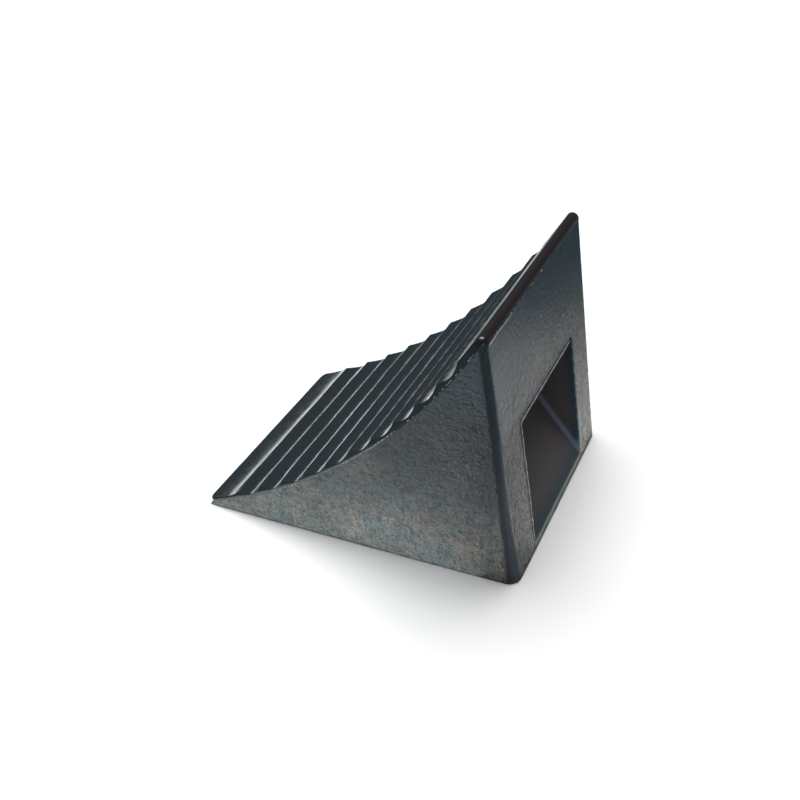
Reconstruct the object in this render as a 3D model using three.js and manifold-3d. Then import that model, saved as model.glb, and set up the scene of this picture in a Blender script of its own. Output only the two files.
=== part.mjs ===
// A moulded rubber wheel chock: a wedge with a concave, cross-ribbed ramp for the tyre, a rounded crest,
// a slightly leaning rear face, and a hand pocket that opens through the rear face.
// The real chock is one rubber moulding. Each mesh here is one named region of that moulding.
// Millimetres, +Z up. X runs from the toe (the thin end) to the heel, Y across the width.
import * as THREE from 'three';
import { mergeVertices } from 'three/addons/utils/BufferGeometryUtils.js';
import Module from 'manifold-3d';

const wasm = await Module();
wasm.setup();

// Driving dimensions
const LENGTH = 208;             // toe tip to heel, along the ground
const WIDTH = 152;
const RAMP_RADIUS = 404.5;      // the side faces' upper edge, concave
const TOE_SLOPE = radians(21.15);
const TOE_RIM = 0.4;            // height of the side faces at the toe
const REAR_LEAN = radians(5);   // the rear face leans towards the toe
const REAR_CORNER = 6.5;        // round of the two upright rear edges
const TREAD_RISE = 4;           // ridges and crest stand this far above the side faces' upper edge
const TOE_RISE = 3;             // the plain strip at the toe
const SCALLOP_DEPTH = 2.3;      // the hollow between two ridges
const SCALLOP_PEAK = 1 / Math.sqrt(3);  // where the hollow is deepest, as a part of the pitch
const RIB_COUNT = 10;
const RIB_PITCH = 20.5;         // along the ramp
const TOE_STRIP = 25.8;         // toe to the first ridge, along the ramp
const EDGE_ROUND = 4.4;         // the tread's long edges
const CREST_ROUND = 3.6;
const BAR_DEPTH = 6;            // how far a tread bar reaches below the side faces' upper edge
const SILL = 3.7;               // ground to the pocket's mouth
const MOUTH_TOP = 90;
const MOUTH_WIDTH = 90.5;
const FLOOR_SLOPE = radians(54);
const CEILING_SLOPE = radians(10);
const WEB = 16;                 // rubber between the pocket and the side faces' upper edge
const POST_DEPTH = 52;          // cheeks become rear posts this far from the heel
const SILL_DEPTH = 9;
const GAP = 0.3;                // left between neighbouring regions
const RUBBER = 0x23282d;
const RUBBER_ROUGHNESS = 0.6;
const ARC_STEP = radians(1.5);

// The ramp's circle, whose centre is above and ahead of the toe
const centreX = TOE_RISE * Math.sin(TOE_SLOPE) - RAMP_RADIUS * Math.sin(TOE_SLOPE);
const centreZ = TOE_RIM + RAMP_RADIUS * Math.cos(TOE_SLOPE);
const pitchAngle = RIB_PITCH / RAMP_RADIUS;
const halfGapAngle = GAP / 2 / RAMP_RADIUS;
const halfMouth = MOUTH_WIDTH / 2;
const halfWidth = WIDTH / 2;

function radians(degrees) {
  return degrees * Math.PI / 180;
}

// A point in the side view at an angle along the ramp, lifted off the side faces' upper edge
function rampPoint(angle, lift) {
  const radius = RAMP_RADIUS - lift;
  return new THREE.Vector2(centreX + radius * Math.sin(angle), centreZ - radius * Math.cos(angle));
}

function ridgeAngle(number) {
  return TOE_SLOPE + TOE_STRIP / RAMP_RADIUS + (number - 1) * pitchAngle;
}

// The deepest line of the hollow on the toe side of a ridge
function hollowAngle(number) {
  return ridgeAngle(number) - (1 - SCALLOP_PEAK) * pitchAngle;
}

function rearX(z) {
  return LENGTH - z * Math.tan(REAR_LEAN);
}

// Height of the tread above the side faces' upper edge, in the middle of the width.
// A hollow falls gently behind a ridge and climbs steeply to the next one.
function treadLift(angle) {
  const ridgesPassed = (angle - ridgeAngle(1)) / pitchAngle;
  if (ridgesPassed >= RIB_COUNT) {
    return TREAD_RISE;
  }
  if (ridgesPassed >= 0) {
    const along = ridgesPassed - Math.floor(ridgesPassed);
    return TREAD_RISE - SCALLOP_DEPTH * along * (1 - along * along) * 1.5 * Math.sqrt(3);
  }
  const alongStrip = (angle - TOE_SLOPE) / (TOE_STRIP / RAMP_RADIUS);
  const dip = TOE_RISE + (TREAD_RISE - TOE_RISE) * alongStrip;
  return dip - (SCALLOP_DEPTH / 2) * 1.5 * Math.sqrt(3) * alongStrip * (1 - alongStrip * alongStrip);
}

// A quarter-round falls away from its full height at a distance of one radius from the edge
function quarterRound(distance, radius) {
  const short = Math.max(0, radius - distance);
  return Math.sqrt(radius * radius - short * short);
}

// Stations across the width, closer together over the rounded long edges
function widthStations() {
  const edge = [0, 25, 50, 75, 90].map((degrees) => EDGE_ROUND * (1 - Math.cos(radians(degrees))));
  const left = edge.map((distance) => -halfWidth + distance);
  const right = edge.map((distance) => halfWidth - distance).reverse();
  return [...left, ...right];
}

// A closed bar made by warping a box: its columns run along the ramp, its rows across the width
function warpedBar(columns, place) {
  const stations = widthStations();
  const rows = stations.length - 1;
  const geometry = new THREE.BoxGeometry(1, 1, 1, columns, rows, 1);
  const position = geometry.attributes.position;
  for (let i = 0; i < position.count; i += 1) {
    const column = Math.round((position.getX(i) + 0.5) * columns);
    const y = stations[Math.round((position.getY(i) + 0.5) * rows)];
    const spot = place(column / columns, y, position.getZ(i) > 0);
    position.setXYZ(i, spot.x, y, spot.y);
  }
  geometry.computeVertexNormals();
  return geometry;
}

// A tread bar between two angles. Bars that reach the ground have a flat bottom at z = 0.
function treadBar(from, to, columns, onGround) {
  const start = from + halfGapAngle;
  const end = to - halfGapAngle;
  return warpedBar(columns, (u, y, isTop) => {
    const angle = start + (end - start) * u;
    if (isTop) {
      const edgeLift = quarterRound(halfWidth - Math.abs(y), EDGE_ROUND);
      return rampPoint(angle, Math.min(treadLift(angle), edgeLift));
    }
    if (onGround) {
      return new THREE.Vector2(centreX + centreZ * Math.tan(angle), 0);
    }
    return rampPoint(angle, -BAR_DEPTH);
  });
}

// Where the rear face, moved in by an inset, is a given distance from the ramp's centre
function rearAtRadius(radius, inset) {
  const offset = LENGTH - inset / Math.cos(REAR_LEAN) - centreX - centreZ * Math.tan(REAR_LEAN);
  const slope = Math.tan(REAR_LEAN);
  const a = 1 + slope * slope;
  const b = 2 * slope * offset;
  const c = offset * offset - radius * radius;
  const below = (-b + Math.sqrt(b * b - 4 * a * c)) / (2 * a);
  return new THREE.Vector2(centreX + offset + slope * below, centreZ - below);
}

// The crest bar's upper outline: the last ridge, the lifted face, and the round down to the rear face
function crestOutline(from, y, steps) {
  const distance = halfWidth - Math.abs(y);
  const lift = Math.min(TREAD_RISE, quarterRound(distance, EDGE_ROUND));
  const inset = REAR_CORNER - quarterRound(distance, REAR_CORNER);
  const centre = rearAtRadius(RAMP_RADIUS - lift + CREST_ROUND, inset + CREST_ROUND);
  const tangent = Math.atan2(centre.x - centreX, centreZ - centre.y);
  const outline = [];
  const flat = Math.floor(steps / 2);
  for (let i = 0; i < flat; i += 1) {
    const angle = from + (tangent - from) * (i / flat);
    outline.push(rampPoint(angle, Math.min(lift, treadLift(angle))));
  }
  const startTurn = Math.PI / 2 + tangent;
  for (let i = flat; i <= steps; i += 1) {
    const turn = startTurn + (REAR_LEAN - startTurn) * ((i - flat) / (steps - flat));
    const x = centre.x + CREST_ROUND * Math.cos(turn);
    const z = centre.y + CREST_ROUND * Math.sin(turn);
    outline.push(new THREE.Vector2(x, z));
  }
  return outline;
}

function crestBar() {
  const steps = 16;
  const from = hollowAngle(RIB_COUNT + 1) + halfGapAngle;
  return warpedBar(steps, (u, y, isTop) => {
    if (isTop) {
      return crestOutline(from, y, steps)[Math.round(u * steps)];
    }
    const distance = halfWidth - Math.abs(y);
    const inset = REAR_CORNER - quarterRound(distance, REAR_CORNER);
    const last = rearAtRadius(RAMP_RADIUS + BAR_DEPTH, inset);
    const to = Math.atan2(last.x - centreX, centreZ - last.y);
    return rampPoint(from + (to - from) * u, -BAR_DEPTH);
  });
}

// Points along the ramp at one depth, from one angle to another
function rampArc(from, to, lift) {
  const steps = Math.max(1, Math.ceil(Math.abs(to - from) / ARC_STEP));
  return Array.from({ length: steps + 1 }, (_, i) => rampPoint(from + (to - from) * (i / steps), lift));
}

function angleOf(point) {
  return Math.atan2(point.x - centreX, centreZ - point.y);
}

// Where a line that climbs towards the toe from a start point meets a depth below the ramp
function climbTo(start, slope, lift) {
  const radius = RAMP_RADIUS - lift;
  const dx = start.x - centreX;
  const dz = start.y - centreZ;
  const b = -dx * Math.cos(slope) + dz * Math.sin(slope);
  const travel = -b - Math.sqrt(b * b - (dx * dx + dz * dz - radius * radius));
  return new THREE.Vector2(start.x - travel * Math.cos(slope), start.y + travel * Math.sin(slope));
}

// A side-view outline made solid between two stations across the width
function slab(outline, fromY, toY) {
  const shape = new THREE.Shape(outline);
  const geometry = new THREE.ExtrudeGeometry(shape, { depth: toY - fromY, bevelEnabled: false });
  geometry.rotateX(Math.PI / 2);
  geometry.translate(0, toY, 0);
  return geometry;
}

function toSolid(geometry) {
  const bare = geometry.clone();
  bare.deleteAttribute('normal');
  bare.deleteAttribute('uv');
  const merged = mergeVertices(bare);
  return new wasm.Manifold(new wasm.Mesh({
    numProp: 3,
    vertProperties: new Float32Array(merged.attributes.position.array),
    triVerts: new Uint32Array(merged.index.array),
  }));
}

function toGeometry(solid) {
  const mesh = solid.getMesh();
  const geometry = new THREE.BufferGeometry();
  geometry.setAttribute('position', new THREE.BufferAttribute(new Float32Array(mesh.vertProperties), 3));
  geometry.setIndex(new THREE.BufferAttribute(new Uint32Array(mesh.triVerts), 1));
  geometry.computeVertexNormals();
  return geometry;
}

// The upright rear edges: a tall block with two rounded corners, leaning with the rear face
function roundedRearBlock() {
  const plan = new THREE.Shape();
  plan.moveTo(-LENGTH, -halfWidth);
  plan.lineTo(-REAR_CORNER, -halfWidth);
  plan.absarc(-REAR_CORNER, -halfWidth + REAR_CORNER, REAR_CORNER, -Math.PI / 2, 0, false);
  plan.absarc(-REAR_CORNER, halfWidth - REAR_CORNER, REAR_CORNER, 0, Math.PI / 2, false);
  plan.lineTo(-LENGTH, halfWidth);
  const height = LENGTH;
  const geometry = new THREE.ExtrudeGeometry(plan, { depth: height, bevelEnabled: false, curveSegments: 6 });
  const position = geometry.attributes.position;
  for (let i = 0; i < position.count; i += 1) {
    position.setX(i, position.getX(i) + rearX(position.getZ(i)));
  }
  return toSolid(geometry);
}

const rearBlock = roundedRearBlock();

function withRoundedRear(geometry) {
  return toGeometry(toSolid(geometry).intersect(rearBlock));
}

// The two sides: a cheek from the second rib back, then a post beside the pocket's mouth
const underTread = -BAR_DEPTH - GAP;
const bodyStart = hollowAngle(2) + halfGapAngle;
const bodyStartX = centreX + centreZ * Math.tan(bodyStart);
const postFront = LENGTH - POST_DEPTH;

function angleAtX(x, lift) {
  return Math.asin((x - centreX) / (RAMP_RADIUS - lift));
}

function cheek(fromY, toY) {
  const outline = [
    new THREE.Vector2(bodyStartX, 0),
    new THREE.Vector2(postFront - GAP, 0),
    ...rampArc(angleAtX(postFront - GAP, underTread), bodyStart, underTread),
  ];
  return slab(outline, fromY, toY);
}

function post(fromY, toY) {
  const top = rearAtRadius(RAMP_RADIUS - underTread, 0);
  const outline = [
    new THREE.Vector2(postFront, 0),
    new THREE.Vector2(LENGTH, 0),
    ...rampArc(angleOf(top), angleAtX(postFront, underTread), underTread),
  ];
  return withRoundedRear(slab(outline, fromY, toY));
}

// The middle: everything between the two sides, round the pocket
const sillEdge = new THREE.Vector2(rearX(SILL), SILL);
const mouthEdge = new THREE.Vector2(rearX(MOUTH_TOP), MOUTH_TOP);
const middle = halfMouth - GAP;

function floorPoint(x) {
  return new THREE.Vector2(x, SILL + (sillEdge.x - x) * Math.tan(FLOOR_SLOPE));
}

function coreWedge() {
  const nearHeel = LENGTH - SILL_DEPTH - GAP;
  const floorTop = climbTo(sillEdge, FLOOR_SLOPE, underTread);
  const outline = [
    new THREE.Vector2(bodyStartX, 0),
    new THREE.Vector2(nearHeel, 0),
    floorPoint(nearHeel),
    ...rampArc(angleOf(floorTop), bodyStart, underTread),
  ];
  return slab(outline, -middle, middle);
}

function sillLip() {
  const front = LENGTH - SILL_DEPTH;
  const outline = [
    new THREE.Vector2(front, 0),
    new THREE.Vector2(LENGTH, 0),
    sillEdge,
    floorPoint(front),
  ];
  return slab(outline, -middle, middle);
}

function rampWeb() {
  const floorStart = new THREE.Vector2(sillEdge.x + GAP / Math.sin(FLOOR_SLOPE), sillEdge.y);
  const upper = [
    climbTo(mouthEdge, CEILING_SLOPE, underTread),
    climbTo(floorStart, FLOOR_SLOPE, underTread),
  ];
  const lower = [
    climbTo(floorStart, FLOOR_SLOPE, -WEB),
    climbTo(mouthEdge, CEILING_SLOPE, -WEB),
  ];
  const outline = [
    ...rampArc(angleOf(upper[0]), angleOf(upper[1]), underTread),
    ...rampArc(angleOf(lower[0]), angleOf(lower[1]), -WEB),
  ];
  return slab(outline, -middle, middle);
}

function lintel() {
  const ceilingStart = new THREE.Vector2(rearX(MOUTH_TOP + GAP), MOUTH_TOP + GAP);
  const front = climbTo(ceilingStart, CEILING_SLOPE, underTread);
  const top = rearAtRadius(RAMP_RADIUS - underTread, 0);
  const outline = [
    ceilingStart,
    ...rampArc(angleOf(top), angleOf(front), underTread),
  ];
  return slab(outline, -middle, middle);
}

const chock = new THREE.Group();
chock.position.set(-LENGTH / 2, 0, 0);

function addRegion(name, geometry) {
  const material = new THREE.MeshStandardMaterial({
    color: RUBBER,
    roughness: RUBBER_ROUGHNESS,
    metalness: 0,
  });
  const mesh = new THREE.Mesh(geometry, material);
  mesh.name = name;
  chock.add(mesh);
}

addRegion('toe_lip', treadBar(TOE_SLOPE - halfGapAngle, hollowAngle(1), 6, true));
for (let number = 1; number <= RIB_COUNT; number += 1) {
  const name = `rib_${String(number).padStart(2, '0')}`;
  addRegion(name, treadBar(hollowAngle(number), hollowAngle(number + 1), 7, number === 1));
}
addRegion('crest_bar', crestBar());
addRegion('left_cheek', cheek(-halfWidth, -halfMouth));
addRegion('right_cheek', cheek(halfMouth, halfWidth));
addRegion('left_post', post(-halfWidth, -halfMouth));
addRegion('right_post', post(halfMouth, halfWidth));
addRegion('core_wedge', coreWedge());
addRegion('sill_lip', sillLip());
addRegion('ramp_web', rampWeb());
addRegion('lintel', lintel());

export default chock;
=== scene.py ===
# A moulded rubber wheel chock on a pale floor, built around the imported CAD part. Metres, +Z up.
# One skin covers the eight body regions. The toe strip, ten ribs and the crest bar lie on top of it.
# Beads of flash follow the upper edge of the side faces, and a fine lip follows the pocket's mouth.
import math

import bpy
import bmesh
import numpy as np
from mathutils import Matrix, Vector, noise


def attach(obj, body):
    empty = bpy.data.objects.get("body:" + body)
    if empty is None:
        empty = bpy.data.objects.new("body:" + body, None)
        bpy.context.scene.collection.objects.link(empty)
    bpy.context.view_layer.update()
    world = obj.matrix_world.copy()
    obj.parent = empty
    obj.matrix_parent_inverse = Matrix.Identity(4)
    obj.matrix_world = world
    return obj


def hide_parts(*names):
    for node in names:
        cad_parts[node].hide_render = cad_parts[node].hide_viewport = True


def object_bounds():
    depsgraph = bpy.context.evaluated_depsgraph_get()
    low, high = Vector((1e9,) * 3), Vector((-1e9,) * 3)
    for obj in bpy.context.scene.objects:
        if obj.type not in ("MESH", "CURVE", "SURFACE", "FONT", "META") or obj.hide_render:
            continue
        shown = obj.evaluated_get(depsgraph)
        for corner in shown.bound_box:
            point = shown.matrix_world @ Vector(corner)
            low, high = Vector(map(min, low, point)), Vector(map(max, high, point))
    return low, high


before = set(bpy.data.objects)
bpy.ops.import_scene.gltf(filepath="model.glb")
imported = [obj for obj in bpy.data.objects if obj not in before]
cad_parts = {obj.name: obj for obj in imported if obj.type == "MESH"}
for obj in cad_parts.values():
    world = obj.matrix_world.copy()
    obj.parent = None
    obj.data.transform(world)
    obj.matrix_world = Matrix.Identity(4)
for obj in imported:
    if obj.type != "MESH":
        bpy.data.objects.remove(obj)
cad_low, cad_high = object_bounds()

# ---------------------------------------------------------------- sizes, in millimetres
MM = 0.001
LENGTH = (cad_high.x - cad_low.x) / MM
HALF_WIDTH = (cad_high.y - cad_low.y) / MM / 2
TOE_X = cad_low.x / MM

# the ramp's circle and the rear face
RAMP_RADIUS = 404.5
TOE_SLOPE = math.radians(21.15)
TOE_RIM = 0.4
REAR_LEAN = math.radians(5)

# the tread: heights are above the side faces' upper edge
TREAD_RISE = 4.0
TOE_RISE = 3.0
SCALLOP_DEPTH = 2.3
SCALLOP_PEAK = 1 / math.sqrt(3)
RIB_COUNT = 10
RIB_PITCH = 20.5
TOE_STRIP = 25.8
TOE_DIP = 0.5
BEAD_RISE = 0.6
BEAD_HALF = 0.8
RIDGE_ZONE = 2.6
EDGE_ROUND = 4.6
EDGE_ROUND_TOP = 4.2
EDGE_BLEND = 1.1
EDGE_FADE = 3
LEAST_BLEND = 0.01
PARTING_STEP = 0.3
BAR_DEPTH = 6.0
BAR_TAPER = 0.004
FLOOR_GAP = 0.05
STATION_STEP = 0.965

# the toe and the crest
TOE_CORNER = 6.5
TOE_CORNER_FADE = 14
TOE_NOSE = 1.3
NOSE_LEAST = 0.05
CREST_ROUND = 3.6
CREST_CORNER = 4.5
CREST_STEP = 0.15
CREST_BEAD = 0.35
CREST_UNDER_INSET = 1.2

# the body and its pocket
BASE_CORNER = 8.4
BLOCK_LOW = -5.0
BLOCK_HIGH = 170.0
BODY_TOE_INSET = 1.5
BODY_TOP = 152.8
SILL = 3.7
MOUTH_TOP = 90.0
MOUTH_HALF = 45.3
MOUTH_EASE = 14
FLOOR_SLOPE = math.radians(54)
FLOOR_CORNER = 3.5
CEILING_SLOPE = math.radians(10)
WEB = 16.0
POCKET_DRAFT = 0.04
POCKET_DEPTH = 45
VOXEL = 0.75
SHARP_EDGE = math.radians(50)

# small marks of the left side face: distance from the heel, height, then a size or a length
PITS = ((6.5, 8.0, 1.0), (141.0, 7.5, 1.1), (29.0, 51.0, 0.8), (26.0, 45.0, 0.8), (60.0, 34.0, 0.7))
MARK = (20.7, 105.2)
MARK_RADIUS = 1.6
SCRATCH = (60.0, 52.5, 11.0)

# flash: nibs (y) on the crest's rear edge, pips (y, z) on the rear face, tags by the ring mark
FLASH_SEED = 11
CREST_LINE = 153.2
NIBS = (-61, -41.5, 5)
PIPS = ((14.8, 106.5), (6.6, 102.2), (-1.6, 129.6), (32.5, 111.4))
TAGS = ((1.4, 1.4, 0.5), (1.8, -1.4, 0.4))

# the lip of the pocket's mouth
LIP_INSET = -0.08
LIP_RADIUS = 0.42
LIP_CORNER = 2.0
LIP_STEP = 1.5
LIP_SIDES = 8

CENTRE_X = TOE_X + (TOE_RISE - RAMP_RADIUS) * math.sin(TOE_SLOPE)
CENTRE_Z = TOE_RIM + RAMP_RADIUS * math.cos(TOE_SLOPE)
HEEL_X = TOE_X + LENGTH
PITCH_ANGLE = RIB_PITCH / RAMP_RADIUS
STRIP_ANGLE = TOE_STRIP / RAMP_RADIUS
CUBIC_PEAK = 1.5 * math.sqrt(3)


def ramp_point(angle, lift):
    radius = RAMP_RADIUS - lift
    return CENTRE_X + radius * np.sin(angle), CENTRE_Z - radius * np.cos(angle)


def ridge_angle(number):
    return TOE_SLOPE + STRIP_ANGLE + (number - 1) * PITCH_ANGLE


def hollow_angle(number):
    return ridge_angle(number) - (1 - SCALLOP_PEAK) * PITCH_ANGLE


def rear_x(z):
    return HEEL_X - z * math.tan(REAR_LEAN)


def fbm(x, y, z, octaves=3, gain=0.5):
    """Layered noise, about -1 to 1, at points given in units of the coarsest wave."""
    total, size = 0.0, 1.0
    for _ in range(octaves):
        total += size * noise.noise(Vector((x, y, z)))
        x, y, z, size = x * 2.03, y * 2.03, z * 2.03, size * gain
    return total


def quarter_round(distance, radius):
    short = np.maximum(0.0, radius - distance)
    return np.sqrt(np.maximum(0.0, radius * radius - short * short))


def smooth_min(a, b, blend):
    mix = np.clip(0.5 + 0.5 * (b - a) / blend, 0, 1)
    return b + (a - b) * mix - blend * mix * (1 - mix)


# ---------------------------------------------------------------- meshes
def make_object(name, verts_mm, faces, material, smooth=True):
    mesh = bpy.data.meshes.new(name)
    mesh.from_pydata([tuple(v) for v in np.asarray(verts_mm) * MM], [], faces)
    mesh.validate()
    obj = bpy.data.objects.new(name, mesh)
    bpy.context.scene.collection.objects.link(obj)
    if material:
        mesh.materials.append(material)
    mesh.polygons.foreach_set("use_smooth", [smooth] * len(mesh.polygons))
    return obj


def closed_bar(name, top, bottom, material):
    """A solid between two grids of the same size, shape (rows, columns, 3)."""
    rows, columns, _ = top.shape
    verts = np.concatenate([top.reshape(-1, 3), bottom.reshape(-1, 3)])
    under = rows * columns
    faces = []
    for r in range(rows - 1):
        for c in range(columns - 1):
            a = r * columns + c
            quad = (a, a + 1, a + columns + 1, a + columns)
            faces.append(quad)
            faces.append(tuple(under + i for i in reversed(quad)))
    rim = list(range(columns))
    rim += [r * columns + columns - 1 for r in range(1, rows)]
    rim += [(rows - 1) * columns + c for c in range(columns - 2, -1, -1)]
    rim += [r * columns for r in range(rows - 2, 0, -1)]
    for i, a in enumerate(rim):
        b = rim[(i + 1) % len(rim)]
        faces.append((a, under + a, under + b, b))
    obj = make_object(name, verts, faces, material)
    mesh = obj.data
    bm = bmesh.new()
    bm.from_mesh(mesh)
    bmesh.ops.recalc_face_normals(bm, faces=bm.faces)
    for edge in bm.edges:
        if len(edge.link_faces) == 2 and edge.calc_face_angle(0) > SHARP_EDGE:
            edge.smooth = False
    bm.to_mesh(mesh)
    bm.free()
    return obj


# ---------------------------------------------------------------- the tread
def ridge_wander(number, y):
    """How far a ridge strays along the ramp, in millimetres: the real ones are a little uneven."""
    slow = noise.noise(Vector((y / 34, number * 7.3, 1.7)))
    quick = noise.noise(Vector((y / 9, number * 5.1, 9.2)))
    return 0.55 * slow + 0.22 * quick


def ridge_height(number, y):
    slow = noise.noise(Vector((y / 26, number * 3.9, 4.4)))
    quick = noise.noise(Vector((y / 5, number * 2.7, 6.6)))
    return TREAD_RISE + 0.22 * slow + 0.1 * quick - 0.12


def hollow_depth(number, y):
    return SCALLOP_DEPTH * (1 + 0.1 * noise.noise(Vector((y / 30, number * 6.1, 2.2))))


def edge_round(angle):
    """The radius of the tread's long edges, which get tighter towards the crest."""
    climb = min(1.0, max(0.0, (angle - ridge_angle(1)) / (RIB_COUNT * PITCH_ANGLE)))
    return EDGE_ROUND + (EDGE_ROUND_TOP - EDGE_ROUND) * climb


def scallop(along):
    return CUBIC_PEAK * along * (1 - along * along)


def hollow_lift(number, y, along):
    """Height between a ridge and the next one: a straight run from one to the other, less the hollow."""
    here = ridge_height(number, y)
    after = ridge_height(number + 1, y)
    return here + (after - here) * along - hollow_depth(number, y) * scallop(along)


def tread_lift(angle, y):
    """Height of the tread above the side faces' upper edge, away from its long edges."""
    place = (angle - ridge_angle(1)) / PITCH_ANGLE
    number = int(math.floor(place)) + 1
    if number > RIB_COUNT:
        rise = ridge_height(RIB_COUNT + 1, y)
        fade = min(1.0, (place - RIB_COUNT) * RIB_PITCH / 3)
        return rise + (TREAD_RISE - rise) * fade
    if number < 1:
        here = (angle - TOE_SLOPE) / STRIP_ANGLE
        end = 1 + ridge_wander(1, y) / TOE_STRIP
        here = min(1.0, max(0.0, here / end))
        rise = TOE_RISE + (ridge_height(1, y) - TOE_RISE) * here ** 10
        return rise - TOE_DIP * 4 * here * (1 - here)
    start = ridge_wander(number, y) / RIB_PITCH
    end = 1 + ridge_wander(number + 1, y) / RIB_PITCH
    part = place - (number - 1)
    if part < start:
        return tread_side(number - 1, y, part + 1, start + 1)
    if part > end:
        return tread_side(number + 1, y, part - 1, end - 1)
    return hollow_lift(number, y, (part - start) / (end - start))


def tread_side(number, y, part, ridge):
    """The height just past a ridge that strays over its nominal line, in the neighbour's hollow."""
    if number < 1:
        gap = (ridge - part) * RIB_PITCH
        return ridge_height(1, y) - 0.35 * gap
    if part < ridge:
        start = ridge_wander(number, y) / RIB_PITCH
        return hollow_lift(number, y, (part - start) / (ridge - start))
    if number > RIB_COUNT:
        return ridge_height(number, y)
    end = 1 + ridge_wander(number + 1, y) / RIB_PITCH
    return hollow_lift(number, y, (part - ridge) / (end - ridge))


def width_stations():
    """Rows across the tread, close together over its rounded long edges."""
    edge = EDGE_ROUND * (1 - np.cos(np.linspace(0, math.pi / 2, 15)))
    left = -HALF_WIDTH + PARTING_STEP + edge
    count = round(2 * (HALF_WIDTH - EDGE_ROUND) / STATION_STEP)
    middle = np.linspace(left[-1] + 0.5, -left[-1] - 0.5, count)
    return np.concatenate([left, middle, -left[::-1]])


STATIONS = width_stations()
TREAD_HALF = HALF_WIDTH - PARTING_STEP


def skin_noise(x, y, z):
    return 0.045 * fbm(x / 9, y / 14, z / 9, 2)


def bead(angle, y, number):
    """The thin raised line that each ridge ends in."""
    ridge = ridge_angle(number) + ridge_wander(number, y) / RAMP_RADIUS
    off = (angle - ridge) * RAMP_RADIUS / BEAD_HALF
    return BEAD_RISE * math.exp(-off * off) * (1 + 0.35 * noise.noise(Vector((y / 7, number * 4.3, 3.1))))


def bar_angles(start, end, ridge):
    """Columns along a bar, close together over its ridge."""
    near = RIDGE_ZONE / RAMP_RADIUS
    if ridge - near < start:
        return np.linspace(start, end, 44)
    before = np.linspace(start, ridge - near, 14)[:-1]
    over = np.linspace(ridge - near, ridge + near, 27)[:-1]
    after = np.linspace(ridge + near, end, 22)
    return np.concatenate([before, over, after])


def tread_bar(name, number, start, end, material):
    angles = np.linspace(start, end, 46) if number == 0 else bar_angles(start, end, ridge_angle(number))
    columns = len(angles) - 1
    top = np.zeros((len(STATIONS), columns + 1, 3))
    bottom = np.zeros_like(top)
    for r, y in enumerate(STATIONS):
        distance = TREAD_HALF - abs(y)
        inside = min(1.0, distance / EDGE_FADE)
        for c, angle in enumerate(angles):
            border = float(quarter_round(distance, edge_round(angle)))
            lift = tread_lift(angle, y)
            if number > 0:
                lift += bead(angle, y, number)
            lift = float(smooth_min(lift, border, EDGE_BLEND * inside + LEAST_BLEND))
            x, z = ramp_point(angle, 0)
            lift += skin_noise(x, y, z) * inside
            shift = 0.0
            if start <= TOE_SLOPE:
                corner = TOE_CORNER - float(quarter_round(distance, TOE_CORNER))
                fade = max(0.0, 1 - (angle - start) * RAMP_RADIUS / TOE_CORNER_FADE)
                shift = corner * fade / RAMP_RADIUS
                nose = TOE_NOSE - float(quarter_round((angle - start) * RAMP_RADIUS, TOE_NOSE))
                lift = max(NOSE_LEAST, lift - nose)
            top[r, c] = reorder(ramp_point(angle + shift, lift), y)
            x, z = ramp_point(angle + shift, -BAR_DEPTH)
            if z < FLOOR_GAP:
                x, z = CENTRE_X + (CENTRE_Z - FLOOR_GAP) * math.tan(angle + shift), FLOOR_GAP
            bottom[r, c] = (x, y * (1 - BAR_TAPER), z)
    return closed_bar(name, top, bottom, material)


def reorder(point, y):
    return point[0], y, point[1]


def rear_at_radius(radius, inset):
    """Where the rear face, moved in by an inset, is that far from the ramp circle's centre."""
    slope = math.tan(REAR_LEAN)
    offset = HEEL_X - inset / math.cos(REAR_LEAN) - CENTRE_X - CENTRE_Z * slope
    a = 1 + slope * slope
    b = 2 * slope * offset
    c = offset * offset - radius * radius
    below = (-b + math.sqrt(b * b - 4 * a * c)) / (2 * a)
    return CENTRE_X + offset + slope * below, CENTRE_Z - below


def crest_bar(name, material):
    """The last ridge, the plain band behind it, and the round over the top down to the rear face."""
    start = hollow_angle(RIB_COUNT + 1)
    flat, turns = 64, 22
    columns = flat + turns
    top = np.zeros((len(STATIONS), columns + 1, 3))
    bottom = np.zeros_like(top)
    for r, y in enumerate(STATIONS):
        distance = TREAD_HALF - abs(y)
        border = float(quarter_round(distance, EDGE_ROUND))
        inside = min(1.0, distance / EDGE_FADE)
        inset = CREST_CORNER - float(quarter_round(distance, CREST_CORNER)) - CREST_STEP
        lift_end = float(smooth_min(TREAD_RISE, border, EDGE_BLEND * inside + LEAST_BLEND))
        centre = rear_at_radius(RAMP_RADIUS - lift_end + CREST_ROUND, inset + CREST_ROUND)
        tangent = math.atan2(centre[0] - CENTRE_X, CENTRE_Z - centre[1])
        for c in range(flat):
            angle = start + (tangent - start) * c / flat
            lift = tread_lift(angle, y) + CREST_BEAD * bead(angle, y, RIB_COUNT + 1)
            lift = float(smooth_min(lift, border, EDGE_BLEND * inside + LEAST_BLEND))
            x, z = ramp_point(angle, 0)
            lift += skin_noise(x, y, z) * inside * (1 - c / flat)
            top[r, c] = reorder(ramp_point(angle, lift), y)
        first = math.pi / 2 + tangent
        for c in range(flat, columns + 1):
            turn = first + (REAR_LEAN - first) * (c - flat) / turns
            x = centre[0] + CREST_ROUND * math.cos(turn)
            z = centre[1] + CREST_ROUND * math.sin(turn)
            top[r, c] = (x, y, z)
        last = rear_at_radius(RAMP_RADIUS + BAR_DEPTH, inset + CREST_UNDER_INSET)
        end = math.atan2(last[0] - CENTRE_X, CENTRE_Z - last[1])
        for c in range(columns + 1):
            x, z = ramp_point(start + (end - start) * c / columns, -BAR_DEPTH)
            bottom[r, c] = (x, y * (1 - BAR_TAPER), z)
    return closed_bar(name, top, bottom, material)


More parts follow.
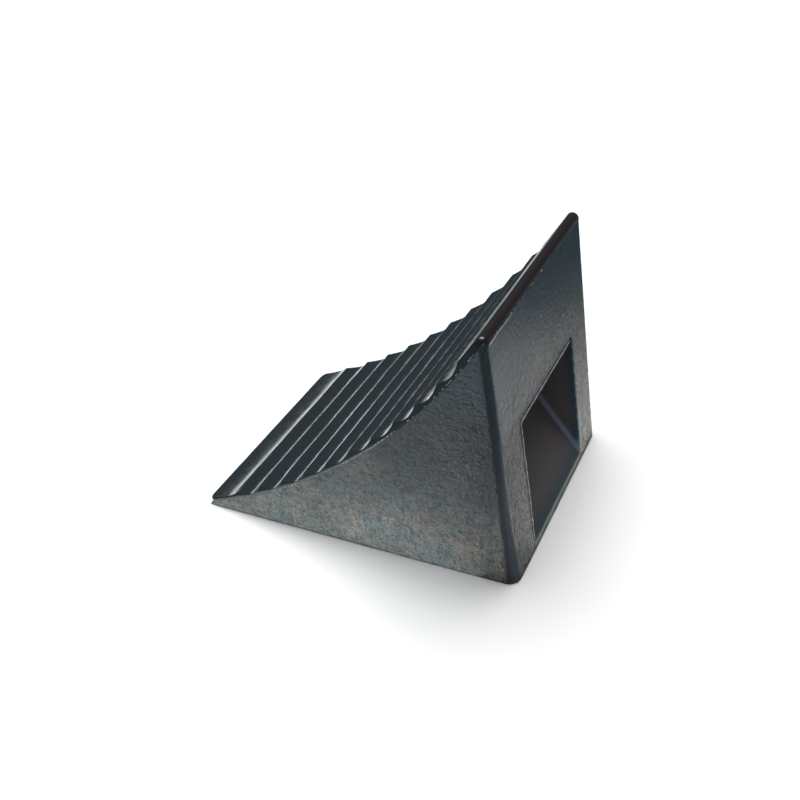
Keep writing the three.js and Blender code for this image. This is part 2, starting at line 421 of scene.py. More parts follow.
# ---------------------------------------------------------------- the body under the tread
def prism(name, outline, from_y, to_y):
    """A closed prism of a side-view outline, given as (x, z) points."""
    verts = [(x, from_y, z) for x, z in outline] + [(x, to_y, z) for x, z in outline]
    n = len(outline)
    faces = [tuple(range(n)), tuple(reversed(range(n, 2 * n)))]
    faces += [(i, i + n, (i + 1) % n + n, (i + 1) % n) for i in range(n)]
    obj = make_object(name, verts, faces, None, smooth=False)
    bm = bmesh.new()
    bm.from_mesh(obj.data)
    bmesh.ops.recalc_face_normals(bm, faces=bm.faces)
    bm.to_mesh(obj.data)
    bm.free()
    return obj


def arc_points(start, end, lift, count):
    return [ramp_point(start + (end - start) * i / count, lift) for i in range(count + 1)]


def rear_block():
    """A tall block whose upright rear edges are rounded, more at the base than at the top."""
    levels = [(BLOCK_LOW, BASE_CORNER), (BLOCK_HIGH, CREST_CORNER)]
    steps = 12
    rings = []
    for z, radius in levels:
        ring = [(HEEL_X - 2 * LENGTH, -HALF_WIDTH, z)]
        for i in range(steps + 1):
            turn = -math.pi / 2 + (math.pi / 2) * i / steps
            x = rear_x(z) - radius + radius * math.cos(turn)
            ring.append((x, -HALF_WIDTH + radius + radius * math.sin(turn), z))
        ring += [(x, -y, z) for x, y, _ in reversed(ring)]
        rings.append(ring)
    n = len(rings[0])
    faces = [tuple(reversed(range(n))), tuple(range(n, 2 * n))]
    faces += [(i, (i + 1) % n, (i + 1) % n + n, i + n) for i in range(n)]
    return make_object("rear_block", rings[0] + rings[1], faces, None, smooth=False)


def meet_arc(x, z, slope, lift):
    """Where a line that climbs towards the toe from (x, z) reaches a depth below the ramp."""
    radius = RAMP_RADIUS - lift
    dx, dz = x - CENTRE_X, z - CENTRE_Z
    b = -dx * math.cos(slope) + dz * math.sin(slope)
    travel = -b - math.sqrt(b * b - (dx * dx + dz * dz - radius * radius))
    return x - travel * math.cos(slope), z + travel * math.sin(slope)


def angle_of(point):
    return math.atan2(point[0] - CENTRE_X, CENTRE_Z - point[1])


def pocket_solid():
    """The pocket as a solid that also reaches out through the rear face, to be cut from the body."""
    beyond = 30.0
    low = (rear_x(SILL), SILL)
    high = (rear_x(MOUTH_TOP), MOUTH_TOP)
    floor_end = meet_arc(*low, FLOOR_SLOPE, -WEB)
    ceiling_end = meet_arc(*high, CEILING_SLOPE, -WEB)
    outline = [low, (low[0] + beyond, SILL), (high[0] + beyond, MOUTH_TOP), high]
    outline += arc_points(angle_of(ceiling_end), angle_of(floor_end), -WEB, 6)
    obj = prism("pocket", outline, -MOUTH_HALF, MOUTH_HALF)
    bm = bmesh.new()
    bm.from_mesh(obj.data)
    lower = []
    for edge in bm.edges:
        a, b = (v.co / MM for v in edge.verts)
        if abs(a.y - b.y) > 1:
            continue
        is_top = min(a.z, b.z) > MOUTH_TOP - 1 and max(a.x, b.x) > ceiling_end[0] + 1
        if not is_top:
            lower.append(edge)
    bmesh.ops.bevel(bm, geom=lower, offset=FLOOR_CORNER * MM, segments=5, affect="EDGES", profile=0.5)
    bm.to_mesh(obj.data)
    bm.free()
    for v in obj.data.vertices:
        depth = max(0.0, rear_x(v.co.z / MM) - v.co.x / MM)
        v.co.y *= 1 - POCKET_DRAFT * depth / POCKET_DEPTH
    return obj


def apply_modifiers(obj):
    dg = bpy.context.evaluated_depsgraph_get()
    mesh = bpy.data.meshes.new_from_object(obj.evaluated_get(dg))
    obj.modifiers.clear()
    obj.data = mesh


def boolean(obj, other, operation):
    modifier = obj.modifiers.new(operation, "BOOLEAN")
    modifier.operation = operation
    modifier.solver = "EXACT"
    modifier.object = other
    apply_modifiers(obj)
    bpy.data.objects.remove(other)


def by_mouth(x, y, z):
    """Whether a point is near the upper and upright edges of the pocket's mouth."""
    depth = rear_x(z) - x
    return -1 < depth < 5 and abs(y) < MOUTH_HALF + 4 and SILL + 2 < z < MOUTH_TOP + 5


def soften(obj, times, group=""):
    smooth = obj.modifiers.new("smooth", "SMOOTH")
    smooth.factor = 0.5
    smooth.iterations = times
    smooth.vertex_group = group
    apply_modifiers(obj)


def body_skin(name, material):
    """One closed skin: the side view's prism, rounded, with its pocket cut, and then its cast relief."""
    top_end = rear_at_radius(RAMP_RADIUS, 0)
    outline = [(TOE_X + BODY_TOE_INSET, 0.0), (HEEL_X, 0.0), (rear_x(BODY_TOP), BODY_TOP)]
    outline += arc_points(angle_of(top_end) - 0.006, TOE_SLOPE + 0.004, 0.0, 60)
    obj = prism(name, outline, -HALF_WIDTH, HALF_WIDTH)
    boolean(obj, rear_block(), "INTERSECT")
    boolean(obj, pocket_solid(), "DIFFERENCE")
    remesh = obj.modifiers.new("remesh", "REMESH")
    remesh.mode = "VOXEL"
    remesh.voxel_size = VOXEL * MM
    remesh.use_smooth_shade = True
    apply_modifiers(obj)
    soften(obj, 3)
    group = obj.vertex_groups.new(name="mouth")
    near = [v.index for v in obj.data.vertices if by_mouth(*(v.co / MM))]
    group.add(near, 1.0, "REPLACE")
    soften(obj, MOUTH_EASE, "mouth")
    mesh = obj.data
    count = len(mesh.vertices)
    co = np.zeros(count * 3)
    mesh.vertices.foreach_get("co", co)
    co = co.reshape(-1, 3) / MM
    normal = np.zeros(count * 3)
    mesh.vertex_normals.foreach_get("vector", normal)
    normal = normal.reshape(-1, 3)
    clean = np.zeros(count, np.float32)
    inner = np.zeros(count, np.float32)
    painted_shade = np.zeros(count, np.float32)
    fold_highlight = np.zeros(count, np.float32)
    for i in range(count):
        x, y, z = co[i]
        inner[i] = shelter(x, y, z)
        # Painted highlight on the fillet where the pocket's floor meets its walls.
        if inner[i] > 0 and normal[i][2] > 0.05 and normal[i][0] > 0.05:
            fold_highlight[i] = min(1.0, max(0.0, abs(normal[i][1]) * normal[i][0] * 3.2 - 0.4))
        if x > HEEL_X - 30 and inner[i] == 0:
            clean[i] = edge_polish(normal[i])
            # Painted shade on the half of each upright rear corner nearer the side face.
            if abs(y) > HALF_WIDTH - BASE_CORNER - 1:
                painted_shade[i] = corner_painted_shade(normal[i])
        clean[i] = max(clean[i], min(1.0, inner[i] * 4))
        if normal[i][2] < -0.7 and z < 1:
            continue
        co[i] += normal[i] * cast_relief(x, y, z, normal[i]) * (1 - 0.9 * clean[i])
    co[:, 2] = np.maximum(co[:, 2], 0.0)
    mesh.vertices.foreach_set("co", (co * MM).ravel())
    for label, values in (("clean", clean), ("inner", inner), ("painted_shade", painted_shade), ("fold_highlight", fold_highlight)):
        mesh.attributes.new(label, "FLOAT", "POINT").data.foreach_set("value", values)
    mesh.update()
    mesh.materials.clear()
    mesh.materials.append(material)
    mesh.polygons.foreach_set("use_smooth", [True] * len(mesh.polygons))
    return obj


def shelter(x, y, z):
    """0 outside the pocket, then 0.3 at its mouth, rising to 1 well inside. It also masks the pocket's
    painted shade.
    """
    if abs(y) > MOUTH_HALF + 1 or z > MOUTH_TOP + 14:
        return 0.0
    depth = rear_x(z) - x
    if depth < 0.7 or z < SILL + depth * math.tan(FLOOR_SLOPE) - 3.5:
        return 0.0
    return min(1.0, 0.3 + depth / 16)


def edge_polish(normal):
    """1 where a surface turns an upright rear corner or the mouth's top edge, 0 on the flat faces."""
    turn = 2 * abs(normal[0]) * math.hypot(normal[1], normal[2] - math.sin(REAR_LEAN))
    return min(1.0, max(0.0, (turn - 0.2) / 0.5))


def corner_painted_shade(normal):
    """1 on the half of an upright rear corner that is nearer the side face: a mask for painted shade."""
    turn = math.degrees(math.atan2(max(0.0, normal[0]), abs(normal[1])))
    return max(0.0, 1 - abs(turn - 24) / 24)


def marks(x, y, z, normal):
    """The small ring, scratch and pits on the left side face."""
    if normal[1] > -0.8:
        return 0.0
    ring = math.hypot(x - (HEEL_X - MARK[0]), z - MARK[1])
    depth = -0.35 * math.exp(-((ring - MARK_RADIUS) / 0.6) ** 2)
    along = (x - (HEEL_X - SCRATCH[0])) / SCRATCH[2]
    if abs(along) < 1:
        line = z - (SCRATCH[1] + 2 * along * along + 0.4 * noise.noise(Vector((x / 2, 0, 0))))
        depth -= 0.4 * math.exp(-(line / 0.55) ** 2) * (1 - along * along)
    for pit_x, pit_z, size in PITS:
        away = math.hypot(x - (HEEL_X - pit_x), z - pit_z) / size
        if away < 2.5:
            depth -= 0.5 * math.exp(-away * away)
    return depth


def cast_relief(x, y, z, normal):
    """Slow waves and small wrinkles of the cast faces. Negative goes into the rubber."""
    smooth_from = 140 if normal[0] > 0.6 else 118
    rough = min(1.0, max(0.12, (smooth_from - z) / 70))
    wave = 0.15 * fbm(x / 28, y / 28, z / 28, 2)
    if abs(normal[1]) > 0.6:
        wrinkle = 1.25 * fbm(x / 4.2, y / 3, z / 2.2, 3)
    else:
        wrinkle = 2.4 * fbm(x / 3, y / 2.1, z / 4.2, 3)
    return wave - 0.15 + 0.17 * rough * wrinkle + marks(x, y, z, normal)


# ---------------------------------------------------------------- materials
class Nodes:
    """Short calls for a material's node tree."""

    def __init__(self, name):
        self.material = bpy.data.materials.new(name)
        self.material.use_nodes = True
        self.tree = self.material.node_tree
        self.shader = self.tree.nodes["Principled BSDF"]
        self.position = self.tree.nodes.new("ShaderNodeTexCoord").outputs["Object"]

    def link(self, source, target):
        self.tree.links.new(source, target)

    def scaled(self, scale):
        node = self.tree.nodes.new("ShaderNodeMapping")
        node.inputs["Scale"].default_value = scale
        self.link(self.position, node.inputs["Vector"])
        return node.outputs["Vector"]

    def noise(self, scale, detail=3.0, rough=0.5, stretch=(1, 1, 1)):
        node = self.tree.nodes.new("ShaderNodeTexNoise")
        node.inputs["Scale"].default_value = scale
        node.inputs["Detail"].default_value = detail
        node.inputs["Roughness"].default_value = rough
        self.link(self.scaled(stretch), node.inputs["Vector"])
        return node.outputs["Fac"]

    def cells(self, scale, stretch=(1, 1, 1)):
        node = self.tree.nodes.new("ShaderNodeTexVoronoi")
        node.inputs["Scale"].default_value = scale
        self.link(self.scaled(stretch), node.inputs["Vector"])
        return node.outputs["Distance"]

    def span(self, value, low, high, to_low=0.0, to_high=1.0):
        node = self.tree.nodes.new("ShaderNodeMapRange")
        node.interpolation_type = "SMOOTHSTEP"
        for key, number in zip(("From Min", "From Max", "To Min", "To Max"), (low, high, to_low, to_high)):
            node.inputs[key].default_value = number
        self.link(value, node.inputs["Value"])
        return node.outputs["Result"]

    def math(self, operation, a, b):
        node = self.tree.nodes.new("ShaderNodeMath")
        node.operation = operation
        for socket, value in zip(node.inputs, (a, b)):
            if isinstance(value, (int, float)):
                socket.default_value = value
            else:
                self.link(value, socket)
        return node.outputs[0]

    def attribute(self, name):
        node = self.tree.nodes.new("ShaderNodeAttribute")
        node.attribute_name = name
        return node.outputs["Fac"]

    def axis(self, name):
        node = self.tree.nodes.new("ShaderNodeSeparateXYZ")
        self.link(self.position, node.inputs[0])
        return node.outputs[name]

    def mix(self, factor, a, b):
        node = self.tree.nodes.new("ShaderNodeMix")
        node.data_type = "RGBA"
        self.link(factor, node.inputs["Factor"])
        for socket, value in zip((node.inputs["A"], node.inputs["B"]), (a, b)):
            if isinstance(value, tuple):
                node.inputs[6 if socket == node.inputs["A"] else 7].default_value = (*value, 1)
            else:
                self.link(value, node.inputs[6 if socket == node.inputs["A"] else 7])
        return node.outputs[2]

    def bump(self, height, strength, distance, before=None):
        node = self.tree.nodes.new("ShaderNodeBump")
        node.inputs["Strength"].default_value = strength
        node.inputs["Distance"].default_value = distance
        self.link(height, node.inputs["Height"])
        if before is not None:
            self.link(before, node.inputs["Normal"])
        return node.outputs["Normal"]


RUBBER = (0.015, 0.033, 0.046)
# Pale colours of dust, which also carry painted light of the floor's bounce
GREY_DUST_AND_BOUNCE = (0.208, 0.252, 0.250)
WARM_DUST_AND_BOUNCE = (0.315, 0.290, 0.250)
HEEL_DUST_AND_BOUNCE = (0.40, 0.39, 0.36)
# Painted shade of the pocket's inside: near its mouth, then deep inside
POCKET_MOUTH_SHADE = (0.006, 0.016, 0.024)
POCKET_DEEP_SHADE = (0.026, 0.022, 0.025)
# Painted highlight for the fillet inside the pocket
POCKET_FOLD_HIGHLIGHT = (0.050, 0.072, 0.115)
# Painted shade for the wrinkles' hollows, then a painted highlight for their peaks
WRINKLE_SHADE = (0.008, 0.013, 0.017)
WRINKLE_HIGHLIGHT = (0.26, 0.28, 0.27)
# Painted shade for the upright rear corners
CORNER_PAINTED_SHADE = (0.026, 0.019, 0.028)
TREAD_GREY = (0.019, 0.022, 0.024)
TREAD_BLUE = (0.017, 0.024, 0.028)
CREST_BROWN = (0.0195, 0.0160, 0.0160)
# Pale flash colours: painted glints on the flash and a painted highlight along the mouth's edge
FLASH_GLINT_GREY = (0.15, 0.16, 0.17)
FLASH_GLINT_PALE = (0.34, 0.34, 0.33)
RUBBER_IOR = 1.45


def body_rubber():
    """Dull cast rubber: dark blue-grey and smooth near the top, greyer, dustier and rougher below, where
    the pale overlay is partly dust and partly painted light of the floor's bounce.
    """
    n = Nodes("body_rubber")
    clean, inner, painted_shade, fold_highlight = (n.attribute(label) for label in ("clean", "inner", "painted_shade", "fold_highlight"))
    # The pale overlay grows towards the bottom, the toe and the heel: partly dust, partly painted light
    # standing in for the floor's bounce.
    toeward = n.math("MULTIPLY", n.axis("X"), -0.9)
    low = n.math("ADD", n.math("MULTIPLY", n.axis("Z"), -9.0), 0.86)
    low = n.math("ADD", low, toeward)
    heel = n.span(n.axis("X"), 0.090, 0.098)
    low = n.math("ADD", low, n.math("MULTIPLY", heel, 0.6))
    patches = n.math("SUBTRACT", n.noise(24, 4, 0.6), 0.5)
    bloom_and_bounce = n.span(n.math("ADD", low, n.math("MULTIPLY", patches, 0.9)), 0.0, 1.0)
    speckle = n.noise(620, 5, 0.75)
    dust_and_bounce = n.math("MULTIPLY", bloom_and_bounce, n.span(speckle, 0.38, 0.64, 0.6, 1.45))
    dust_and_bounce = n.math("MULTIPLY", dust_and_bounce, n.span(clean, 0, 1, 1.0, 0.15))
    warm = n.span(n.noise(60, 4, 0.65), 0.42, 0.62)
    pale = n.mix(warm, GREY_DUST_AND_BOUNCE, WARM_DUST_AND_BOUNCE)
    pale = n.mix(n.math("MULTIPLY", heel, 0.35), pale, HEEL_DUST_AND_BOUNCE)
    base = n.mix(dust_and_bounce, RUBBER, pale)
    # Painted shade inside the pocket: darker and bluish near the mouth, browner deeper in.
    pocket_shade = n.mix(n.span(inner, 0.45, 0.8), POCKET_MOUTH_SHADE, POCKET_DEEP_SHADE)
    # A light-blue painted highlight on the fillet between the pocket's floor and its walls.
    pocket_shade = n.mix(fold_highlight, pocket_shade, POCKET_FOLD_HIGHLIGHT)
    wrinkle_side = n.noise(430, 5, 0.7, (0.6, 0.9, 1.25))
    wrinkle_rear = n.noise(480, 5, 0.68, (0.9, 1.25, 0.5))
    dashes = n.span(n.noise(340, 3, 0.55, (0.9, 1.4, 0.5)), 0.53, 0.68)
    grain = n.noise(1500, 3, 0.6)
    pits = n.span(n.cells(150), 0.06, 0.2, 1, 0)
    rough = n.span(n.axis("Z"), 0.140, 0.070, 0.12, 1.0)
    rough = n.math("MULTIPLY", rough, n.span(clean, 0, 1, 1.0, 0.03))
    wrinkle = n.math("ADD", wrinkle_side, wrinkle_rear)
    # Painted shade in the wrinkles' hollows and dashes, and a painted highlight on their peaks.
    hollow = n.math("MAXIMUM", n.span(wrinkle, 0.84, 1.06, 0.9, 0.0), n.math("MULTIPLY", dashes, 0.85))
    crease_shade = n.math("MULTIPLY", n.math("MULTIPLY", hollow, rough), n.span(heel, 0, 1, 0.5, 0.62))
    base = n.mix(crease_shade, base, WRINKLE_SHADE)
    peak_highlight = n.math("MULTIPLY", n.span(wrinkle, 1.0, 1.12, 0.0, 0.35), rough)
    base = n.mix(n.math("MULTIPLY", peak_highlight, n.span(heel, 0, 1, 0.25, 1.0)), base, WRINKLE_HIGHLIGHT)
    # Painted shade on the side half of each upright rear corner.
    base = n.mix(n.span(painted_shade, 0, 1, 0, 0.85), base, CORNER_PAINTED_SHADE)
    # Inside the pocket, the painted shade replaces the surface colour.
    base = n.mix(n.span(inner, 0.0, 0.3), base, pocket_shade)
    n.link(base, n.shader.inputs["Base Color"])
    dull = n.span(dust_and_bounce, 0, 1, 0.46, 0.72)
    dull = n.math("ADD", dull, n.span(inner, 0.0, 0.4, 0.0, 0.42))
    n.link(dull, n.shader.inputs["Roughness"])
    relief = n.math("MULTIPLY", n.math("SUBTRACT", wrinkle, 1.0), rough)
    normal = n.bump(relief, 1.0, 0.0055)
    sunk = n.math("MULTIPLY", n.math("ADD", dashes, n.math("MULTIPLY", pits, 0.6)), rough)
    normal = n.bump(n.math("SUBTRACT", 0.0, sunk), 1.0, 0.0011, normal)
    normal = n.bump(n.math("MULTIPLY", n.math("SUBTRACT", grain, 0.5), rough), 1.0, 0.0008, normal)
    n.link(normal, n.shader.inputs["Normal"])
    n.shader.inputs["IOR"].default_value = RUBBER_IOR
    return n.material


def tread_rubber():
    """Smoother rubber where the tyre bears, nearly black, with a soft shine."""
    n = Nodes("tread_rubber")
    patches = n.noise(60, 3, 0.55)
    base = n.mix(n.span(patches, 0.35, 0.65), TREAD_GREY, TREAD_BLUE)
    base = n.mix(n.span(n.axis("Z"), 0.1475, 0.1505), base, CREST_BROWN)
    n.link(base, n.shader.inputs["Base Color"])
    n.link(n.span(n.noise(90, 2, 0.5), 0.3, 0.7, 0.11, 0.17), n.shader.inputs["Roughness"])
    normal = n.bump(n.noise(200, 2, 0.5, (1, 0.4, 1)), 0.22, 0.0003)
    n.link(normal, n.shader.inputs["Normal"])
    n.shader.inputs["IOR"].default_value = RUBBER_IOR
    return n.material


def flash_glint_rubber():
    """The thin broken skin that squeezes out where the mould's halves meet, painted pale for the glints it
    catches.
    """
    n = Nodes("flash_glint_rubber")
    base = n.mix(n.span(n.noise(500, 3, 0.6), 0.4, 0.6), FLASH_GLINT_GREY, FLASH_GLINT_PALE)
    n.link(base, n.shader.inputs["Base Color"])
    n.link(n.span(n.noise(900, 2, 0.5), 0.3, 0.7, 0.35, 0.5), n.shader.inputs["Roughness"])
    return n.material


# ---------------------------------------------------------------- the parting line's flash
def blob(centre, along, half_length, half_thick):
    """One bead of flash: a small ball drawn out along the parting line."""
    bm = bmesh.new()
    bmesh.ops.create_icosphere(bm, subdivisions=2, radius=1.0)
    along = Vector(along).normalized()
    verts = []
    for v in bm.verts:
        part = v.co.dot(along)
        verts.append(Vector(centre) + half_thick * v.co + (half_length - half_thick) * part * along)
    faces = [tuple(v.index for v in f.verts) for f in bm.faces]
    bm.free()
    return verts, faces


def rim_place(angle, side):
    """A place on a side face's upper edge, and the direction of that edge."""
    x, z = ramp_point(angle, 0.1)
    step = ramp_point(angle + 0.01, 0.1)
    return (x, side * (HALF_WIDTH - 0.25), z), (step[0] - x, 0, step[1] - z)


def flash_beads():
    """Each bead's centre, direction, half length and half thickness."""
    draw = np.random.default_rng(FLASH_SEED)
    beads = []
    rear_end = angle_of(rear_at_radius(RAMP_RADIUS, 0)) - 0.02
    for side in (-1, 1):
        angle = TOE_SLOPE + 0.012
        while angle < rear_end:
            centre, along = rim_place(angle, side)
            if draw.random() < 0.62:
                beads.append((centre, along, draw.uniform(0.3, 1.3), draw.uniform(0.17, 0.30)))
            angle += draw.uniform(1.6, 5.2) / RAMP_RADIUS
    y = -HALF_WIDTH + 7
    while y < HALF_WIDTH - 5:
        half = draw.uniform(0.4, 2.2)
        centre = (rear_x(CREST_LINE) + 0.02, y, CREST_LINE + draw.uniform(-0.15, 0.15))
        if draw.random() < 0.8:
            beads.append((centre, (0, 1, 0), half, draw.uniform(0.11, 0.18)))
        y += half + draw.uniform(1.2, 4.0)
    for y in NIBS:
        beads.append(((rear_x(CREST_LINE), y, CREST_LINE), (0, 1, 0.2), 0.75, 0.55))
    for y, z in PIPS:
        beads.append(((rear_x(z) - 0.15, y, z), (0, 0.3, 1), 0.6, 0.45))
    for heelward, above, size in TAGS:
        centre = (HEEL_X - MARK[0] + heelward, -HALF_WIDTH + 0.1, MARK[1] + above)
        beads.append((centre, (1, 0, 1), size, 0.35))
    return beads


def parting_flash(name, material):
    verts, faces = [], []
    for bead_size in flash_beads():
        more, shape = blob(*bead_size)
        faces += [tuple(i + len(verts) for i in f) for f in shape]
        verts += more
    return make_object(name, [tuple(v) for v in verts], faces, material)


def lip_path():
    """Up the near upright edge of the mouth, round its corner and along the top."""
    side = -MOUTH_HALF - LIP_INSET
    top = MOUTH_TOP + LIP_INSET
    path = [(side, z) for z in np.arange(SILL + 5.0, top - LIP_CORNER, LIP_STEP)]
    for turn in np.linspace(0, 1.57, 6):
        y = side + LIP_CORNER * (1 - math.cos(turn))
        path.append((y, top - LIP_CORNER * (1 - math.sin(turn))))
    path += [(y, top) for y in np.arange(side + 3.5, MOUTH_HALF - 4.0, LIP_STEP)]
    return path


def mouth_lip(name, material):
    """A fine ragged lip, where the pocket's core met the mould. Its pale colour is a painted highlight
    along the mouth's edge.

    It follows the mouth's sharp corner, so it stands up to half a millimetre off the skin's rounded edge.
    """
    path = lip_path()
    verts, faces = [], []
    for i, (y, z) in enumerate(path):
        before, after = path[max(0, i - 1)], path[min(len(path) - 1, i + 1)]
        along = Vector((0, after[0] - before[0], after[1] - before[1])).normalized()
        across = along.cross(Vector((1, 0, 0)))
        wobble = noise.noise(Vector((y / 4, z / 4, 5.5)))
        radius = LIP_RADIUS * (1 + 0.45 * wobble) * (0.3 if i in (0, len(path) - 1) else 1)
        centre = Vector((rear_x(z) - LIP_INSET, y, z)) + 0.12 * wobble * across
        for k in range(LIP_SIDES):
            turn = 2 * math.pi * k / LIP_SIDES
            verts.append(centre + radius * (math.cos(turn) * Vector((1, 0, 0)) + math.sin(turn) * across))
    for i in range(len(path) - 1):
        for k in range(LIP_SIDES):
            a = i * LIP_SIDES + k
            b = i * LIP_SIDES + (k + 1) % LIP_SIDES
            faces.append((a, b, b + LIP_SIDES, a + LIP_SIDES))
    faces.append(tuple(reversed(range(LIP_SIDES))))
    faces.append(tuple(range((len(path) - 1) * LIP_SIDES, len(path) * LIP_SIDES)))
    return make_object(name, [tuple(v) for v in verts], faces, material)


# ---------------------------------------------------------------- build
skin_material = body_rubber()
tread_material = tread_rubber()

BODY_NODES = ("left_cheek", "right_cheek", "left_post", "right_post",
              "core_wedge", "sill_lip", "ramp_web", "lintel")
skin = body_skin("chock_skin", skin_material)
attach(skin, "root")
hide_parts(*BODY_NODES)

edges = [TOE_SLOPE] + [hollow_angle(k) for k in range(1, RIB_COUNT + 2)]
names = ["toe_lip"] + [f"rib_{k:02d}" for k in range(1, RIB_COUNT + 1)]
for number, (name, start, end) in enumerate(zip(names, edges[:-1], edges[1:])):
    bar = tread_bar("skin_" + name, number, start, end, tread_material)
    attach(bar, "root")
    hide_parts(name)
crest = crest_bar("skin_crest_bar", tread_material)
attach(crest, "root")
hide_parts("crest_bar")
flash_glint_material = flash_glint_rubber()
for piece in (parting_flash("parting_flash", flash_glint_material), mouth_lip("mouth_lip", flash_glint_material)):
    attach(piece, "root")


# ---------------------------------------------------------------- the floor and lights
def aim(obj, place, target):
    obj.location = place
    obj.rotation_euler = (Vector(target) - Vector(place)).to_track_quat("-Z", "Y").to_euler()


def soft_light(name, place, target, across, watts, colour, along=None):
    data = bpy.data.lights.new(name, "AREA")
    data.shape = "RECTANGLE" if along else "DISK"
    data.size = across
    data.size_y = along or across
    data.energy = watts
    data.color = colour
    obj = bpy.data.objects.new(name, data)
    bpy.context.scene.collection.objects.link(obj)
    aim(obj, place, target)
    obj.visible_camera = False


def bounce_light(name, x, y, height, across, watts, colour, along=None):
    """A low light that faces up, in place of the floor's reflection."""
    soft_light(name, (x, y, height), (x, y, 1), across, watts, colour, along)


def pale_floor(reach=6.0, drop=0.0002):
    """A wide pale floor that glows with distance, so that it stays pale up to the horizon."""
    mesh = bpy.data.meshes.new("floor")
    corners = [(-reach, -reach, 0), (reach, -reach, 0), (reach, reach, 0), (-reach, reach, 0)]
    mesh.from_pydata(corners, [], [(0, 1, 2, 3)])
    obj = bpy.data.objects.new("floor", mesh)
    bpy.context.scene.collection.objects.link(obj)
    obj.location.z = -drop
    n = Nodes("pale_floor")
    n.shader.inputs["Base Color"].default_value = (0.86, 0.86, 0.86, 1)
    n.shader.inputs["Roughness"].default_value = 0.9
    distance = n.tree.nodes.new("ShaderNodeVectorMath")
    distance.operation = "LENGTH"
    n.link(n.position, distance.inputs[0])
    n.link(n.span(distance.outputs["Value"], 0.6, 4.2, 0.0, 0.9), n.shader.inputs["Emission Strength"])
    mesh.materials.append(n.material)
    obj.visible_glossy = False
    return obj


floor = pale_floor()

soft_light("overhead", (-0.3, 0.6, 3.3), (0, 0, 0), across=3.2, watts=182, colour=(1, 1, 1))
bounce_light("bounce", x=-0.085, y=-0.01, height=0.0006, across=0.36, watts=0.64, colour=(0.98, 1, 0.98))
bounce_light("bounce_heel", x=0.140, y=0.070, height=0.0008, across=0.06, along=0.23, watts=0.170,
             colour=(1, 0.98, 0.95))
bounce_light("bounce_side", x=0.030, y=-0.13, height=0.0008, across=0.13, along=0.07, watts=0.070,
             colour=(0.97, 1, 1))
bounce_light("bounce_far", x=-0.12, y=0.32, height=0.0008, across=0.40, watts=0.26, colour=(1, 0.97, 0.95))

# ---------------------------------------------------------------- the world
SKY_TOE = (0.13, 0.22, 0.28)
SKY_HEEL = (0.12, 0.085, 0.08)
GROUND_DARK = (0.10, 0.16, 0.20)
GROUND_GLOW = (0.46, 0.72, 0.86)
GLOW_SIDE = (0.77, -0.64, 0)
DIM_STRENGTH = 0.30
PALE_STRENGTH = 0.95


class WorldNodes:
    """Short calls for the world's node tree."""

    def __init__(self, tree):
        self.tree = tree
        self.direction = tree.nodes.new("ShaderNodeTexCoord").outputs["Generated"]
        self.split = tree.nodes.new("ShaderNodeSeparateXYZ")
        tree.links.new(self.direction, self.split.inputs[0])

    def share(self, source, low, high):
        """0 at or below the low value, 1 at or above the high one."""
        node = self.tree.nodes.new("ShaderNodeMapRange")
        node.inputs["From Min"].default_value = low
        node.inputs["From Max"].default_value = high
        self.tree.links.new(source, node.inputs["Value"])
        return node.outputs[0]

    def blend(self, share, low_colour, high_colour):
        node = self.tree.nodes.new("ShaderNodeValToRGB")
        for stop, place, colour in zip(node.color_ramp.elements, (0.0, 1.0), (low_colour, high_colour)):
            stop.position = place
            stop.color = (*colour, 1)
        self.tree.links.new(share, node.inputs[0])
        return node.outputs[0]

    def towards(self, side):
        """How far a direction points to a side, as a dot product."""
        node = self.tree.nodes.new("ShaderNodeVectorMath")
        node.operation = "DOT_PRODUCT"
        node.inputs[1].default_value = side
        self.tree.links.new(self.direction, node.inputs[0])
        return node.outputs["Value"]


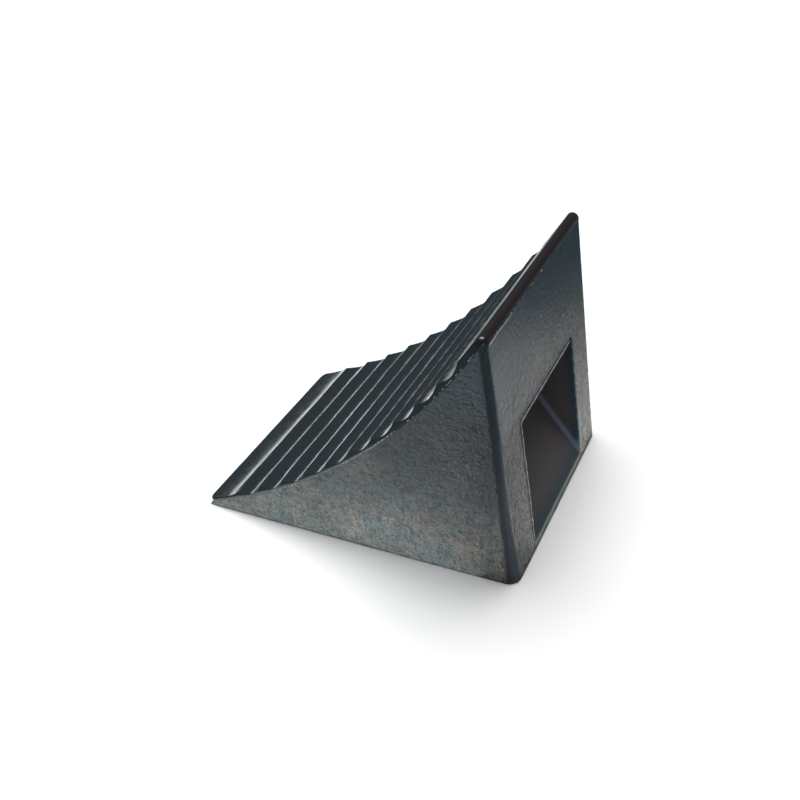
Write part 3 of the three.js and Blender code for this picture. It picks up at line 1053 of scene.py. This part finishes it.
def studio_world():
    """Pale to the camera. Every other ray sees a dim room, cool at the toe's end and warm at the heel's.

    Below the horizon the room glows on one side, which lights the left side face and the heel.
    """
    world = bpy.data.worlds.new("studio")
    bpy.context.scene.world = world
    world.use_nodes = True
    tree = world.node_tree
    w = WorldNodes(tree)
    sky = w.blend(w.share(w.split.outputs["X"], -0.2, 0.3), SKY_TOE, SKY_HEEL)
    ground = w.blend(w.share(w.towards(GLOW_SIDE), -0.6, -0.15), GROUND_DARK, GROUND_GLOW)
    surround = tree.nodes.new("ShaderNodeMix")
    surround.data_type = "RGBA"
    tree.links.new(w.share(w.split.outputs["Z"], -0.06, 0.06), surround.inputs[0])
    tree.links.new(ground, surround.inputs[6])
    tree.links.new(sky, surround.inputs[7])
    dim = tree.nodes["Background"]
    dim.inputs["Strength"].default_value = DIM_STRENGTH
    tree.links.new(surround.outputs[2], dim.inputs["Color"])
    pale = tree.nodes.new("ShaderNodeBackground")
    pale.inputs["Color"].default_value = (1, 1, 1, 1)
    pale.inputs["Strength"].default_value = PALE_STRENGTH
    ray = tree.nodes.new("ShaderNodeLightPath")
    seen = tree.nodes.new("ShaderNodeMixShader")
    tree.links.new(ray.outputs["Is Camera Ray"], seen.inputs[0])
    tree.links.new(dim.outputs[0], seen.inputs[1])
    tree.links.new(pale.outputs[0], seen.inputs[2])
    tree.links.new(seen.outputs[0], tree.nodes["World Output"].inputs["Surface"])


studio_world()
bpy.context.scene.view_settings.view_transform = "Standard"

# ---------------------------------------------------------------- the camera
AZIMUTH = math.radians(28.83)
ELEVATION = math.radians(34.80)
ROLL = math.radians(-5.98)
DISTANCE = 0.6047
LENS = 43.58
SENSOR = 36
AIM = Vector((-0.0056 * LENGTH, 0.0224 * 2 * HALF_WIDTH, 0.3215 * cad_high.z / MM)) * MM
back = Vector((math.sin(AZIMUTH) * math.cos(ELEVATION), -math.cos(AZIMUTH) * math.cos(ELEVATION),
               math.sin(ELEVATION)))
level = Vector((0, 0, 1)).cross(back).normalized()
upright = back.cross(level)
right = math.cos(ROLL) * level + math.sin(ROLL) * upright
up = math.cos(ROLL) * upright - math.sin(ROLL) * level
camera_data = bpy.data.cameras.new("camera")
camera_data.lens = LENS
camera_data.sensor_width = SENSOR
camera = bpy.data.objects.new("camera", camera_data)
bpy.context.scene.collection.objects.link(camera)
rotation = Matrix((right, up, back)).transposed()
camera.matrix_world = Matrix.Translation(AIM + DISTANCE * back) @ rotation.to_4x4()
bpy.context.scene.camera = camera
